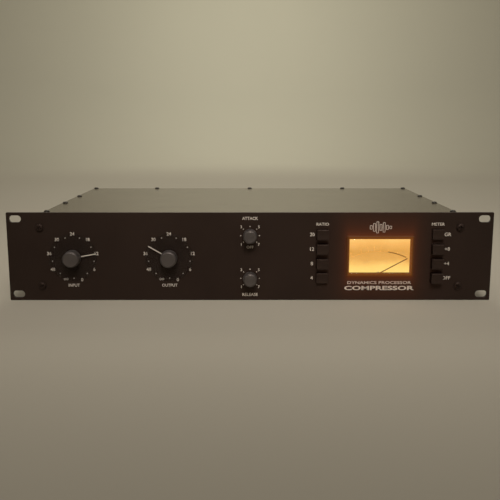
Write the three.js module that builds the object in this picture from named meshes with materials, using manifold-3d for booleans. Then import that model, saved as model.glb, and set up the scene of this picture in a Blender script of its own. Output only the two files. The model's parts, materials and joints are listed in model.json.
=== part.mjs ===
// A two-unit 19-inch rack compressor. Millimetres, +Z up, the front panel faces -Y.
//
// Everything below is placed in the panel's frame: x = 0 and z = 0 at the panel's centre, and y = 0 on
// the panel's rear face, where the chassis begins. The exported group moves that frame so that its
// origin is the centre of the underside. A depth in front of the panel's face is called a reach.

import * as THREE from 'three';
import { mergeVertices } from 'three/addons/utils/BufferGeometryUtils.js';
import Module from 'manifold-3d';

const wasm = await Module();
wasm.setup();

// ---------------------------------------------------------------- driving dimensions

const panel = { width: 482.6, height: 88.9, thickness: 3.2 };
const rackSlot = { x: 232.55, z: 38.1, length: 12, width: 7 };
const chassis = { halfWidth: 212.5, depth: 279.4, halfHeight: 41.5, sheet: 1.5, cover: 1.25, flange: 12 };
const panelScrew = { x: 208.5, z: 29.5, holeRadius: 2.25 };

const dialZ = -0.8;
const inputX = -176.5;
const outputX = -80.6;
const attackZ = 21.3;
const releaseZ = -22;

const largeControl = {
  knobRadius: 8.3, knobReach: 13.5, knobBase: 2.2, recessRadius: 7.3, recessDepth: 2.8,
  shaftRadius: 3, bushingRadius: 4.7, bushingReach: 2.6, nutAcrossFlats: 12, nutHeight: 1.8,
};
const smallControl = {
  knobRadius: 7, knobReach: 11.5, knobBase: 0.5, recessRadius: 5.2, recessDepth: 2.4,
  shaftRadius: 1.6, bushingRadius: 3.3, bushingReach: 2.2, nutAcrossFlats: 8, nutHeight: 1.6,
};
const skirt = { radius: 24, holeRadius: 7.5, thickness: 1 };

const ratioColumnX = 72;
const meterColumnX = 186.5;
const button = { width: 11.6, height: 10.4, reach: 6, latchDepth: 3, stem: 4, clearance: 0.4 };
const buttonRows = [22.5, 7.8, -6.9, -21.6];
const switchBody = { plateWidth: 24, width: 16, frontY: 14, backY: 34, armWidth: 2 };

const meter = { x: 129.7, z: 0.7, width: 62, height: 35, frame: 2.75, frameReach: 1.6, lensReach: 2.6 };
const needle = { length: 32.3, tail: 2.5, restAngle: 61.5, belowWindow: 1.1, frontY: 1.6, backY: 2.2 };
const dialCard = { frontY: 5, thickness: 1, width: 63, top: 18, bottom: -21.5 };

const rearX = { input: 172, output: 128, terminals: 52, mains: -160, fuse: -112 };
const rearZ = 2;
const audioConnector = { width: 26, height: 31, bore: 9.5, barrel: 11.8, plateThickness: 2, length: 20 };
const mainsInlet = { width: 50, height: 25, cupWidth: 24.5, cupHeight: 16.5, wall: 1.6, length: 20 };
const terminalStrip = { width: 78, height: 22, thickness: 11, terminals: 8 };
const fuse = { bodyRadius: 6, flangeRadius: 8, capRadius: 6.6, capLength: 11, bodyLength: 30 };

// ---------------------------------------------------------------- geometry helpers

// A box between two corners.
function block(x, y, z) {
  const size = [x, y, z].map(([low, high]) => high - low);
  const middle = [x, y, z].map(([low, high]) => (low + high) / 2);
  return new THREE.BoxGeometry(...size).translate(...middle);
}

// A flat shape drawn in x and z, as seen from the front, given a thickness from yFront back to yBack.
function plate(shape, yFront, yBack, curveSegments = 8) {
  const options = { depth: yBack - yFront, bevelEnabled: false, curveSegments };
  return new THREE.ExtrudeGeometry(shape, options).rotateX(Math.PI / 2).translate(0, yBack, 0);
}

// A solid of revolution about the y axis, from [radius, y] points that run along its outside from the
// front to the back, or round its section.
function turned(profile, segments = 32) {
  const points = profile.map(([radius, y]) => new THREE.Vector2(radius, y));
  return new THREE.LatheGeometry(points, segments);
}

function rectangle(width, height, x = 0, z = 0) {
  const [left, right, low, high] = [x - width / 2, x + width / 2, z - height / 2, z + height / 2];
  return new THREE.Shape([
    new THREE.Vector2(left, low),
    new THREE.Vector2(right, low),
    new THREE.Vector2(right, high),
    new THREE.Vector2(left, high),
  ]);
}

function disc(radius, x = 0, z = 0) {
  return new THREE.Shape().absarc(x, z, radius, 0, Math.PI * 2, false);
}

// A slot with two straight sides and two half-round ends, long in x.
function slot(length, width, x, z) {
  const radius = width / 2;
  const reach = length / 2 - radius;
  const shape = new THREE.Shape();
  shape.absarc(x + reach, z, radius, -Math.PI / 2, Math.PI / 2, false);
  shape.absarc(x - reach, z, radius, Math.PI / 2, (Math.PI * 3) / 2, false);
  return shape;
}

function hexagon(acrossFlats) {
  const radius = acrossFlats / Math.sqrt(3);
  const corners = [0, 1, 2, 3, 4, 5].map((corner) => {
    const angle = (corner * Math.PI) / 3;
    return new THREE.Vector2(radius * Math.cos(angle), radius * Math.sin(angle));
  });
  return new THREE.Shape(corners);
}

// Joining and cutting need closed meshes with shared vertices and no collapsed triangles.
function toSolid(geometry) {
  const bare = geometry.clone();
  bare.deleteAttribute('normal');
  bare.deleteAttribute('uv');
  const merged = mergeVertices(bare, 1e-4);
  const triangles = [];
  for (let i = 0; i < merged.index.count; i += 3) {
    const corners = [0, 1, 2].map((corner) => merged.index.getX(i + corner));
    if (new Set(corners).size === 3) triangles.push(...corners);
  }
  return new wasm.Manifold(new wasm.Mesh({
    numProp: 3,
    vertProperties: merged.attributes.position.array,
    triVerts: Uint32Array.from(triangles),
  }));
}

function toGeometry(solid) {
  const mesh = solid.getMesh();
  const geometry = new THREE.BufferGeometry();
  geometry.setAttribute('position', new THREE.BufferAttribute(mesh.vertProperties, 3));
  geometry.setIndex(new THREE.BufferAttribute(mesh.triVerts, 1));
  geometry.computeVertexNormals();
  return geometry;
}

function join(first, ...others) {
  return toGeometry(others.reduce((solid, geometry) => solid.add(toSolid(geometry)), toSolid(first)));
}

function cut(first, ...tools) {
  return toGeometry(tools.reduce((solid, geometry) => solid.subtract(toSolid(geometry)), toSolid(first)));
}

// A plate with holes of the given shapes through it.
function punched(shape, holes, yFront, yBack, curveSegments) {
  const punches = holes.map((hole) => plate(hole, yFront - 1, yBack + 1, curveSegments));
  return cut(plate(shape, yFront, yBack), ...punches);
}

// ---------------------------------------------------------------- finishes

const finishes = {
  blackPaint: { color: 0x251b18, roughness: 0.45, metalness: 0.2 },
  coverPaint: { color: 0x4a4236, roughness: 0.35, metalness: 0.3 },
  blackScrew: { color: 0x1c1a18, roughness: 0.35, metalness: 0.6 },
  aluminium: { color: 0x75706a, roughness: 0.35, metalness: 1 },
  steel: { color: 0x9a9a98, roughness: 0.4, metalness: 1 },
  blackPlastic: { color: 0x171512, roughness: 0.5, metalness: 0 },
  clearPlastic: { color: 0xdfe4e4, roughness: 0.1, metalness: 0, transparent: true, opacity: 0.25 },
  amber: { color: 0xffc870, roughness: 0.6, metalness: 0, emissive: 0xffa840 },
  circuitBoard: { color: 0x2f5a35, roughness: 0.6, metalness: 0 },
};

const assembly = new THREE.Group();

function add(name, geometry, finish, position = [0, 0, 0]) {
  const mesh = new THREE.Mesh(geometry, new THREE.MeshStandardMaterial(finishes[finish]));
  mesh.name = name;
  mesh.position.set(...position);
  assembly.add(mesh);
}

const face = -panel.thickness;

// ---------------------------------------------------------------- front panel and its screws

function frontPanel() {
  const holes = [rectangle(meter.width + 0.6, meter.height + 0.6, meter.x, meter.z)];
  for (const side of [-1, 1]) {
    for (const row of [-1, 1]) {
      holes.push(slot(rackSlot.length, rackSlot.width, side * rackSlot.x, row * rackSlot.z));
      holes.push(disc(panelScrew.holeRadius, side * panelScrew.x, row * panelScrew.z));
    }
  }
  const bushingGap = 0.2;
  for (const x of [inputX, outputX]) {
    holes.push(disc(largeControl.bushingRadius + bushingGap, x, dialZ));
  }
  for (const z of [attackZ, releaseZ]) {
    holes.push(disc(smallControl.bushingRadius + bushingGap, 0, z));
  }
  for (const x of [ratioColumnX, meterColumnX]) {
    for (const z of buttonRows) {
      const { width, height, clearance } = button;
      holes.push(rectangle(width + 2 * clearance, height + 2 * clearance, x, z));
    }
  }
  add('front_panel', punched(rectangle(panel.width, panel.height), holes, face, 0, 8), 'blackPaint');
}

// A pan-head screw with its head on the panel's face and its shank through the chassis flange.
function panelScrews() {
  const head = { radius: 4, height: 2.4 };
  const shank = { radius: 1.9, end: 7 };
  const profile = [
    [0, face - head.height], [head.radius * 0.55, face - head.height],
    [head.radius * 0.88, face - head.height * 0.72], [head.radius, face - head.height * 0.3],
    [head.radius, face], [shank.radius, face], [shank.radius, shank.end], [0, shank.end],
  ];
  for (const [side, x] of [['left', -panelScrew.x], ['right', panelScrew.x]]) {
    for (const [row, z] of [['upper', panelScrew.z], ['lower', -panelScrew.z]]) {
      add(`panel_screw_${row}_${side}`, turned(profile, 16), 'blackScrew', [x, 0, z]);
    }
  }
}

// ---------------------------------------------------------------- chassis

// Folded side plates: a wall, a flange under each cover, and a flange behind each end panel. The plate is
// the same above and below, so the right one is the left one turned half round.
function sidePlates() {
  const { halfWidth, depth, halfHeight, sheet, cover, flange } = chassis;
  const top = halfHeight - cover;
  const inward = [-halfWidth, flange - halfWidth];
  const wall = block([-halfWidth, sheet - halfWidth], [0, depth], [-top, top]);
  const upper = block(inward, [0, depth - sheet], [top - sheet, top]);
  const lower = block(inward, [0, depth - sheet], [-top, sheet - top]);
  const front = block(inward, [0, sheet], [-top, top]);
  const rear = block(inward, [depth - 2 * sheet, depth - sheet], [-top, top]);
  const screwHoles = [-panelScrew.z, panelScrew.z].map((z) => (
    plate(disc(panelScrew.holeRadius, -panelScrew.x, z), -1, sheet + 1)
  ));
  const left = cut(join(wall, upper, lower, front, rear), ...screwHoles);
  add('left_side_plate', left, 'coverPaint');
  add('right_side_plate', left.clone().rotateY(Math.PI), 'coverPaint');
}

// Flat sheets that close the box above and below.
function covers() {
  const { halfWidth, depth, halfHeight, cover } = chassis;
  for (const [name, low] of [['top_cover', halfHeight - cover], ['bottom_cover', -halfHeight]]) {
    add(name, block([-halfWidth, halfWidth], [0, depth], [low, low + cover]), 'coverPaint');
  }
}

// ---------------------------------------------------------------- rear panel and its connectors

function rearPanel() {
  const { halfWidth, depth, halfHeight, sheet, cover, flange } = chassis;
  const gap = 0.25;
  const top = halfHeight - cover;
  const half = halfWidth - sheet - gap;
  const cup = mainsInlet.wall * 2 + gap * 2;
  const holes = [
    disc(audioConnector.barrel + gap, rearX.input, rearZ),
    disc(audioConnector.barrel + gap, rearX.output, rearZ),
    rectangle(mainsInlet.cupWidth + cup, mainsInlet.cupHeight + cup, rearX.mains, rearZ),
    disc(fuse.bodyRadius + gap, rearX.fuse, rearZ),
    rectangle(terminalStrip.width - 14, 8, rearX.terminals, rearZ),
  ];
  const wall = punched(rectangle(2 * half, 2 * top), holes, depth - sheet, depth, 12);
  const inset = half - flange - 2;
  const flanges = [[top - sheet, top], [-top, sheet - top]].map((z) => (
    block([-inset, inset], [depth - flange, depth], z)
  ));
  add('rear_panel', join(wall, ...flanges), 'coverPaint');
}

// Each audio connector is a shell with a round socket and an insert at the socket's bottom.
function audioConnectors() {
  const { width, height, bore, barrel, plateThickness, length } = audioConnector;
  const rear = chassis.depth;
  const bottom = rear - length + 3;
  const barrelProfile = [
    [0, rear - length], [barrel, rear - length], [barrel, rear + plateThickness], [0, rear + plateThickness],
  ];
  const boreProfile = [[0, bottom], [bore, bottom], [bore, rear + 5], [0, rear + 5]];
  const shell = () => cut(
    join(block([-width / 2, width / 2], [rear, rear + plateThickness], [-height / 2, height / 2]),
      turned(barrelProfile, 24)),
    turned(boreProfile, 24),
  );
  const contacts = [[-3.6, 2.4], [3.6, 2.4], [0, -3.9]];
  const base = turned([[0, bottom], [bore - 0.3, bottom], [bore - 0.3, bottom + 3], [0, bottom + 3]], 24);
  const pins = contacts.map(([x, z]) => (
    turned([[0, bottom + 1], [1.15, bottom + 1], [1.15, rear - 2], [0, rear - 1.2]], 12).translate(x, 0, z)
  ));
  const core = turned([[0, bottom + 1], [7, bottom + 1], [7, rear + 1], [0, rear + 1]], 24);
  const sockets = contacts.map(([x, z]) => (
    turned([[0, rear - 9], [1.5, rear - 9], [1.5, rear + 3], [0, rear + 3]], 12).translate(x, 0, z)
  ));
  add('input_connector_shell', shell(), 'blackPlastic', [rearX.input, 0, rearZ]);
  add('output_connector_shell', shell(), 'blackPlastic', [rearX.output, 0, rearZ]);
  add('input_connector_insert', cut(join(base, core), ...sockets), 'blackPlastic', [rearX.input, 0, rearZ]);
  add('output_connector_insert', join(base, ...pins), 'steel', [rearX.output, 0, rearZ]);
}

function mainsInletPieces() {
  const { width, height, cupWidth, cupHeight, wall, length } = mainsInlet;
  const rear = chassis.depth;
  const bottom = rear - length + 3;
  const centred = (size) => [-size / 2, size / 2];
  const flangePlate = block(centred(width), [rear, rear + 2.5], centred(height));
  const cup = block(centred(cupWidth + 2 * wall), [rear - length, rear + 2.5], centred(cupHeight + 2 * wall));
  const recess = block(centred(cupWidth), [bottom, rear + 5], centred(cupHeight));
  add('mains_inlet_shell', cut(join(flangePlate, cup), recess), 'blackPlastic', [rearX.mains, 0, rearZ]);
  const gap = 0.3;
  const base = block(centred(cupWidth - gap * 2), [bottom, bottom + 2], centred(cupHeight - gap * 2));
  const blades = [[-7, -1.5], [7, -1.5], [0, 2.5]].map(([x, z]) => (
    block([x - 1, x + 1], [bottom + 1, rear - 3], [z - 2, z + 2])
  ));
  add('mains_inlet_insert', join(base, ...blades), 'steel', [rearX.mains, 0, rearZ]);
}

function fuseHolder() {
  const rear = chassis.depth;
  const profile = [
    [0, rear - fuse.bodyLength], [fuse.bodyRadius, rear - fuse.bodyLength], [fuse.bodyRadius, rear],
    [fuse.flangeRadius, rear], [fuse.flangeRadius, rear + 2], [fuse.capRadius, rear + 2],
    [fuse.capRadius, rear + fuse.capLength - 1], [fuse.capRadius - 1, rear + fuse.capLength],
    [0, rear + fuse.capLength],
  ];
  add('fuse_holder', turned(profile, 20), 'blackPlastic', [rearX.fuse, 0, rearZ]);
}

// A moulded block with a raised barrier on each side of every terminal.
function terminalStripBlock() {
  const { width, height, thickness, terminals } = terminalStrip;
  const rear = chassis.depth;
  const pitch = (width - 14) / terminals;
  const base = block([-width / 2, width / 2], [rear, rear + thickness - 5], [-height / 2, height / 2]);
  const barriers = Array.from({ length: terminals + 1 }, (_, index) => {
    const x = (index - terminals / 2) * pitch;
    return block([x - 0.8, x + 0.8], [rear + 1, rear + thickness], [-height / 2 + 1, height / 2 - 1]);
  });
  add('terminal_strip', join(base, ...barriers), 'blackPlastic', [rearX.terminals, 0, rearZ]);
}

// ---------------------------------------------------------------- rotary controls

// A potentiometer behind the panel. Its threaded bushing passes through, and is bored for the shaft.
function potentiometer(name, control, bodyRadius, bodyLength, x, z) {
  const tip = face - control.bushingReach;
  const bore = control.shaftRadius + 0.45;
  const boreEnd = bodyLength - 3;
  const can = turned([
    [0, boreEnd], [bore, boreEnd], [bore, tip], [control.bushingRadius, tip],
    [control.bushingRadius, 0], [bodyRadius, 0], [bodyRadius, bodyLength], [0, bodyLength],
  ], 20);
  const lugs = [-6, 0, 6].map((lugX) => (
    block([lugX - 1.2, lugX + 1.2], [4, 5], [-bodyRadius - 5, 2 - bodyRadius])
  ));
  add(name, join(can, ...lugs), 'steel', [x, 0, z]);
}

function bushingNut(name, control, x, z) {
  const thread = disc(control.bushingRadius + 0.2);
  const front = face - control.nutHeight;
  add(name, punched(hexagon(control.nutAcrossFlats), [thread], front, face, 12), 'steel', [x, 0, z]);
}

function shaft(name, control, rearEnd, x, z) {
  const front = face - control.knobReach + 3;
  const { shaftRadius } = control;
  const profile = [
    [0, front], [shaftRadius - 0.4, front], [shaftRadius, front + 0.5], [shaftRadius, rearEnd], [0, rearEnd],
  ];
  add(name, turned(profile, 16), 'steel', [x, 0, z]);
}

// A turned knob: a blind hole for the shaft, and a wider recess that clears the bushing nut.
function knob(name, control, x, z) {
  const { knobRadius, knobReach, knobBase, recessRadius, recessDepth, shaftRadius } = control;
  const hole = shaftRadius + 0.3;
  const front = face - knobReach;
  const rear = face - knobBase;
  const recessEnd = rear - recessDepth;
  const holeEnd = front + 2;
  const faceRadius = knobRadius - 1.6;
  const profile = [
    [0, front + 0.4], [faceRadius - 0.8, front + 0.4], [faceRadius - 0.4, front], [faceRadius, front],
    [knobRadius - 0.5, front + 1.5], [knobRadius, rear], [recessRadius, rear], [recessRadius, recessEnd],
    [hole, recessEnd], [hole, holeEnd], [0, holeEnd],
  ];
  add(name, turned(profile, 28), 'aluminium', [x, 0, z]);
}

// A clear disc fixed under a large knob, with a hole that clears the bushing nut.
function knobSkirt(name, x, z) {
  const { radius, holeRadius, thickness } = skirt;
  const front = face - largeControl.knobBase;
  const rear = front + thickness;
  const profile = [
    [holeRadius, front], [radius - 0.5, front], [radius, front + 0.5], [radius, rear],
    [holeRadius, rear], [holeRadius, front],
  ];
  add(name, turned(profile, 36), 'clearPlastic', [x, 0, z]);
}

function largeControls() {
  for (const [name, potName, x, radius, length] of [
    ['input', 'input_attenuator', inputX, 15, 30],
    ['output', 'output_potentiometer', outputX, 12, 16],
  ]) {
    potentiometer(potName, largeControl, radius, length, x, dialZ);
    bushingNut(`${name}_bushing_nut`, largeControl, x, dialZ);
    shaft(`${name}_shaft`, largeControl, length - 4, x, dialZ);
    knobSkirt(`${name}_knob_skirt`, x, dialZ);
    knob(`${name}_knob`, largeControl, x, dialZ);
  }
}

function smallControls() {
  for (const [name, z, length] of [['attack', attackZ, 17], ['release', releaseZ, 12]]) {
    potentiometer(`${name}_potentiometer`, smallControl, 9, length, 0, z);
    bushingNut(`${name}_bushing_nut`, smallControl, 0, z);
    shaft(`${name}_shaft`, smallControl, length - 4, 0, z);
    knob(`${name}_knob`, smallControl, 0, z);
  }
}

// ---------------------------------------------------------------- push buttons

// A latching switch bank: a mounting plate on the panel's rear face, two arms, and a body with a channel
// for each button's stem.
function switchBank(name, x) {
  const { plateWidth, width, frontY, backY, armWidth } = switchBody;
  const middle = (buttonRows[0] + buttonRows[3]) / 2;
  const half = (buttonRows[0] - buttonRows[3]) / 2 + 9;
  const z = [middle - half, middle + half];
  const frame = block([-plateWidth / 2, plateWidth / 2], [0, 1.5], z);
  const arms = [-1, 1].map((side) => {
    const inner = side * (width / 2 - armWidth);
    return block([inner, side * (width / 2)].sort((a, b) => a - b), [0, backY], z);
  });
  const body = block([-width / 2, width / 2], [frontY, backY], z);
  const openings = buttonRows.flatMap((row) => {
    const across = button.width / 2 + 0.3;
    const up = button.height / 2 + button.clearance;
    const channel = button.stem / 2 + button.clearance;
    return [
      block([-across, across], [-1, frontY - 4], [row - up, row + up]),
      block([-channel, channel], [frontY - 1, backY + 1], [row - channel, row + channel]),
    ];
  });
  add(name, cut(join(frame, ...arms, body), ...openings), 'steel', [x, 0, 0]);
}

// A button is a cap with softened front edges on a square stem. A latched one rests deeper.
function pushButton(name, x, z, latched) {
  const shift = latched ? button.latchDepth : 0;
  const chamfer = 0.7;
  const front = face - button.reach + shift;
  const capEnd = 2 + shift;
  const { width, height, stem } = button;
  const capFace = {
    depth: capEnd - front - chamfer,
    bevelEnabled: true,
    bevelThickness: chamfer,
    bevelSize: chamfer,
    bevelSegments: 1,
  };
  const core = rectangle(width - 2 * chamfer, height - 2 * chamfer);
  const cap = new THREE.ExtrudeGeometry(core, capFace).rotateX(Math.PI / 2).translate(0, capEnd, 0);
  const trim = block([-width, width], [capEnd, capEnd + 5], [-height, height]);
  const half = stem / 2;
  const stemBlock = block([-half, half], [capEnd - 2, switchBody.backY - 4 + shift], [-half, half]);
  add(name, join(cut(cap, trim), stemBlock), 'blackPlastic', [x, 0, z]);
}

function pushButtons() {
  switchBank('ratio_switch_bank', ratioColumnX);
  switchBank('meter_switch_bank', meterColumnX);
  ['20', '12', '8', '4'].forEach((label, index) => {
    pushButton(`ratio_button_${label}`, ratioColumnX, buttonRows[index], label === '4');
  });
  ['reduction', 'plus_8', 'plus_4', 'off'].forEach((label, index) => {
    pushButton(`meter_button_${label}`, meterColumnX, buttonRows[index], label === 'reduction');
  });
}

// ---------------------------------------------------------------- level meter

// All meter pieces are drawn about the window's centre.
const meterPlace = [meter.x, 0, meter.z];
const pivotZ = -meter.height / 2 - needle.belowWindow;

function meterCase() {
  const { width, height, frame, frameReach, lensReach } = meter;
  const gap = 0.3;
  const bezelShape = rectangle(width + 2 * frame, height + 2 * frame + 0.5);
  const window = rectangle(width + 2 * gap, height + 2 * gap);
  add('meter_bezel', punched(bezelShape, [window], face - frameReach, face), 'blackPlastic', meterPlace);

  const chamfer = 0.6;
  const lensFront = face - lensReach;
  const lensBack = face + 1.2;
  const lensCore = rectangle(width - 2 * chamfer, height - 2 * chamfer);
  const lensForm = new THREE.ExtrudeGeometry(lensCore, {
    depth: lensBack - lensFront - 2 * chamfer,
    bevelEnabled: true,
    bevelThickness: chamfer,
    bevelSize: chamfer,
    bevelSegments: 1,
  });
  lensForm.rotateX(Math.PI / 2).translate(0, lensBack - chamfer, 0);
  add('meter_lens', lensForm, 'clearPlastic', meterPlace);

  const wall = 1.25;
  const roomAboveAndBelow = 5;
  const outer = { x: width / 2 + wall + 1, z: height / 2 + wall + roomAboveAndBelow };
  const depth = 28;
  const spread = (half) => [-half, half];
  add('meter_housing', cut(
    block(spread(outer.x), [0, depth], spread(outer.z)),
    block(spread(outer.x - wall), [-1, depth - wall], spread(outer.z - wall)),
  ), 'blackPlastic', meterPlace);
}

function meterDial() {
  const { frontY, thickness, width, top, bottom } = dialCard;
  const card = rectangle(width, top - bottom, 0, (top + bottom) / 2);
  const staffHole = disc(1.2, 0, pivotZ);
  add('meter_dial', punched(card, [staffHole], frontY, frontY + thickness), 'amber', meterPlace);
  const lampProfile = [[0, 9], [3, 9], [3, 18], [0, 18]];
  add('meter_lamp', turned(lampProfile, 16), 'amber', [meter.x + 18, 0, meter.z + 8]);
}

// The magnet block sits behind the dial, bored for the needle's staff.
function meterMovement() {
  const magnet = block([-11, 11], [7, 24], [pivotZ - 3, pivotZ + 13]);
  const bore = turned([[0, 6], [1.2, 6], [1.2, 21], [0, 21]], 16).translate(0, 0, pivotZ);
  add('meter_movement', cut(magnet, bore), 'steel', meterPlace);
}

function meterNeedle() {
  const { length, tail, restAngle, frontY, backY } = needle;
  const blade = new THREE.Shape([
    new THREE.Vector2(-0.55, -tail), new THREE.Vector2(0.55, -tail),
    new THREE.Vector2(0.2, length), new THREE.Vector2(-0.2, length),
  ]);
  const hubRadius = 1.4;
  const hub = turned([
    [0, frontY - 0.6], [hubRadius, frontY - 0.6], [hubRadius, backY + 0.6], [0, backY + 0.6],
  ], 20);
  const staff = turned([[0, backY], [0.7, backY], [0.7, 20], [0, 20]], 12);
  const geometry = join(plate(blade, frontY, backY), hub, staff);
  geometry.rotateY((restAngle * Math.PI) / 180);
  add('meter_needle', geometry, 'blackPlastic', [meter.x, 0, meter.z + pivotZ]);
}

// ---------------------------------------------------------------- inside the box

const floor = chassis.cover - chassis.halfHeight;

function circuitBoard() {
  const board = { halfWidth: 82, front: 110, back: 246, low: floor + 12, thickness: 1.6 };
  const top = board.low + board.thickness;
  const sheet = block([-board.halfWidth, board.halfWidth], [board.front, board.back], [board.low, top]);
  const amplifierCans = [-60, -20, 20, 60].map((x) => (
    turned([[0, 0], [4.5, 0], [4.5, 8], [0, 8]], 8).rotateX(Math.PI / 2).translate(x, 150, top - 0.2)
  ));
  const capacitors = [-50, -25, 0, 25, 50].map((x) => (
    turned([[0, 0], [5, 0], [5, 18], [0, 18]], 8).rotateX(Math.PI / 2).translate(x, 205, top - 0.2)
  ));
  const trimmers = [-40, 0, 40].map((x) => block([x - 5, x + 5], [172, 182], [top - 0.2, top + 9]));
  add('main_board', join(sheet, ...amplifierCans, ...capacitors, ...trimmers), 'circuitBoard');

  for (const [name, side] of [['board_bracket_left', -1], ['board_bracket_right', 1]]) {
    const acrossX = (inner, outer) => [side * inner, side * outer].sort((a, b) => a - b);
    const y = [board.front + 4, board.back - 4];
    const foot = block(acrossX(78, 92), y, [floor, floor + 1.5]);
    const web = block(acrossX(78, 79.5), y, [floor, board.low]);
    const shelf = block(acrossX(66, 79.5), y, [board.low - 1.5, board.low]);
    add(name, join(foot, web, shelf), 'steel');
  }
}

// The laminated core is a tall block, and its winding stands proud at the front and the back.
function powerTransformer() {
  const core = block([-33, 33], [-17, 17], [0, 56]);
  const winding = block([-20, 20], [-28, 28], [9, 47]);
  const feet = block([-42, 42], [-17, 17], [0, 1.5]);
  add('power_transformer', join(core, winding, feet), 'steel', [-155, 205, floor]);
}

function uprightCan(name, radius, height, x, y, finish) {
  const profile = [[0, 0], [radius, 0], [radius, height - 1.5], [radius - 1.5, height], [0, height]];
  const geometry = turned(profile, 20).rotateX(Math.PI / 2);
  add(name, geometry, finish, [x, y, floor]);
}

frontPanel();
panelScrews();
sidePlates();
covers();
rearPanel();
audioConnectors();
mainsInletPieces();
fuseHolder();
terminalStripBlock();
largeControls();
smallControls();
pushButtons();
meterCase();
meterDial();
meterMovement();
meterNeedle();
circuitBoard();
powerTransformer();
uprightCan('input_transformer', 17, 44, 172, 235, 'steel');
uprightCan('output_transformer', 19, 50, 122, 215, 'steel');
uprightCan('filter_capacitor', 17.5, 62, -110, 130, 'aluminium');

assembly.position.set(0, -chassis.depth / 2, chassis.halfHeight);

const unit = new THREE.Group();
unit.add(assembly);

export default unit;
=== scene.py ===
"""A two-unit rack compressor: black panel, turned knobs, push buttons and an amber level meter."""

import json
from math import cos, pi, radians, sin

import bmesh
import bpy
from mathutils import Matrix, Vector


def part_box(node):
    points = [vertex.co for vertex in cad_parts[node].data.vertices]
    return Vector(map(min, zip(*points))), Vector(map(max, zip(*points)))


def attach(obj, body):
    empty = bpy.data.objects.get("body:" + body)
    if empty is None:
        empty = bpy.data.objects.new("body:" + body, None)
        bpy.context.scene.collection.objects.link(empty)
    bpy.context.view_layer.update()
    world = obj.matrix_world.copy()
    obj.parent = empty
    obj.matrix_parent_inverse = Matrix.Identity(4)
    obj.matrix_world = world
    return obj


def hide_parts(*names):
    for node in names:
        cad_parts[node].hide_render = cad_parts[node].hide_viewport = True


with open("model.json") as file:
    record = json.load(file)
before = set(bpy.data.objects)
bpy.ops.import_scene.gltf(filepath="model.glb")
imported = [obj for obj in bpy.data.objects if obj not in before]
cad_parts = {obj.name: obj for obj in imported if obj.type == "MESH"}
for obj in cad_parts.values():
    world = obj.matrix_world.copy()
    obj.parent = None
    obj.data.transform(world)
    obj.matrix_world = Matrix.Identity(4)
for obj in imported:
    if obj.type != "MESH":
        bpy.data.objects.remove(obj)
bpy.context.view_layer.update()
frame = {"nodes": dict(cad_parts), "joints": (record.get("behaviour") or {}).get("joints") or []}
scene = bpy.context.scene
MM = 0.001

# ---- places, all read from the frame

panel_low, panel_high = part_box("front_panel")
FACE, PANEL_BACK = panel_low.y, panel_high.y
PANEL_MIDDLE = (panel_low.z + panel_high.z) / 2
cover_low, cover_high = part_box("top_cover")
lens_low, lens_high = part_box("meter_lens")
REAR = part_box("rear_panel")[1].y

PANEL_SCREWS = [f"panel_screw_{row}_{side}" for row in ("upper", "lower") for side in ("left", "right")]
RATIO_BUTTONS = [f"ratio_button_{label}" for label in ("20", "12", "8", "4")]
METER_BUTTONS = [f"meter_button_{label}" for label in ("reduction", "plus_8", "plus_4", "off")]


def middle(node):
    """The x and z of a node's centre line."""
    low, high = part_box(node)
    return (low.x + high.x) / 2, (low.z + high.z) / 2


WINDOW = middle("meter_lens")
swing = next(joint for joint in frame["joints"] if joint["name"] == "meter_needle_swing")
PIVOT = swing["pos_m"][0], swing["pos_m"][2]

# ---- mesh helpers

FACING_FRONT = Matrix(((1, 0, 0, 0), (0, 0, -1, 0), (0, 1, 0, 0), (0, 0, 0, 1)))
FACING_REAR = Matrix(((-1, 0, 0, 0), (0, 0, 1, 0), (0, 1, 0, 0), (0, 0, 0, 1)))
FACING_UP = Matrix.Identity(4)


def finished(name, bm, material):
    """An object from a bmesh, with flat faces shaded flat and rounded edges shaded round."""
    bmesh.ops.recalc_face_normals(bm, faces=bm.faces)
    mesh = bpy.data.meshes.new(name)
    bm.to_mesh(mesh)
    bm.free()
    mesh.shade_smooth()
    mesh.set_sharp_from_angle(angle=radians(48))
    mesh.materials.append(material)
    obj = placed_in_scene(name, mesh)
    obj.modifiers.new("flat faces", "WEIGHTED_NORMAL").keep_sharp = True
    return obj


def piece(name, bm, material, body="chassis", node=None):
    """A visible piece that rides on a body and may stand for a CAD node."""
    obj = finished(name, bm, material)
    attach(obj, body)
    if node:
        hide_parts(node)


def placed_in_scene(name, data):
    obj = bpy.data.objects.new(name, data)
    scene.collection.objects.link(obj)
    return obj


def evaluated(obj):
    """The mesh that an object's curve settings or modifiers make."""
    graph = bpy.context.evaluated_depsgraph_get()
    graph.update()
    return bpy.data.meshes.new_from_object(obj.evaluated_get(graph))


def mesh_of(curve):
    obj = placed_in_scene("scratch", curve)
    mesh = evaluated(obj)
    bpy.data.objects.remove(obj)
    return mesh


def bmesh_of(mesh, merge=1e-7):
    """A bmesh that takes a mesh's place, with doubled vertices merged."""
    bm = bmesh.new()
    bm.from_mesh(mesh)
    bpy.data.meshes.remove(mesh)
    bmesh.ops.remove_doubles(bm, verts=bm.verts, dist=merge)
    return bm


def moved(bm, matrix):
    bmesh.ops.transform(bm, matrix=matrix, verts=bm.verts)
    return bm


def joined(*parts):
    """One bmesh out of several, which are freed."""
    result = bmesh.new()
    result.verts.layers.float_vector.new("turning")
    for part in parts:
        mesh = bpy.data.meshes.new("scratch")
        part.to_mesh(mesh)
        part.free()
        result.from_mesh(mesh)
        bpy.data.meshes.remove(mesh)
    return result


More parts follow.
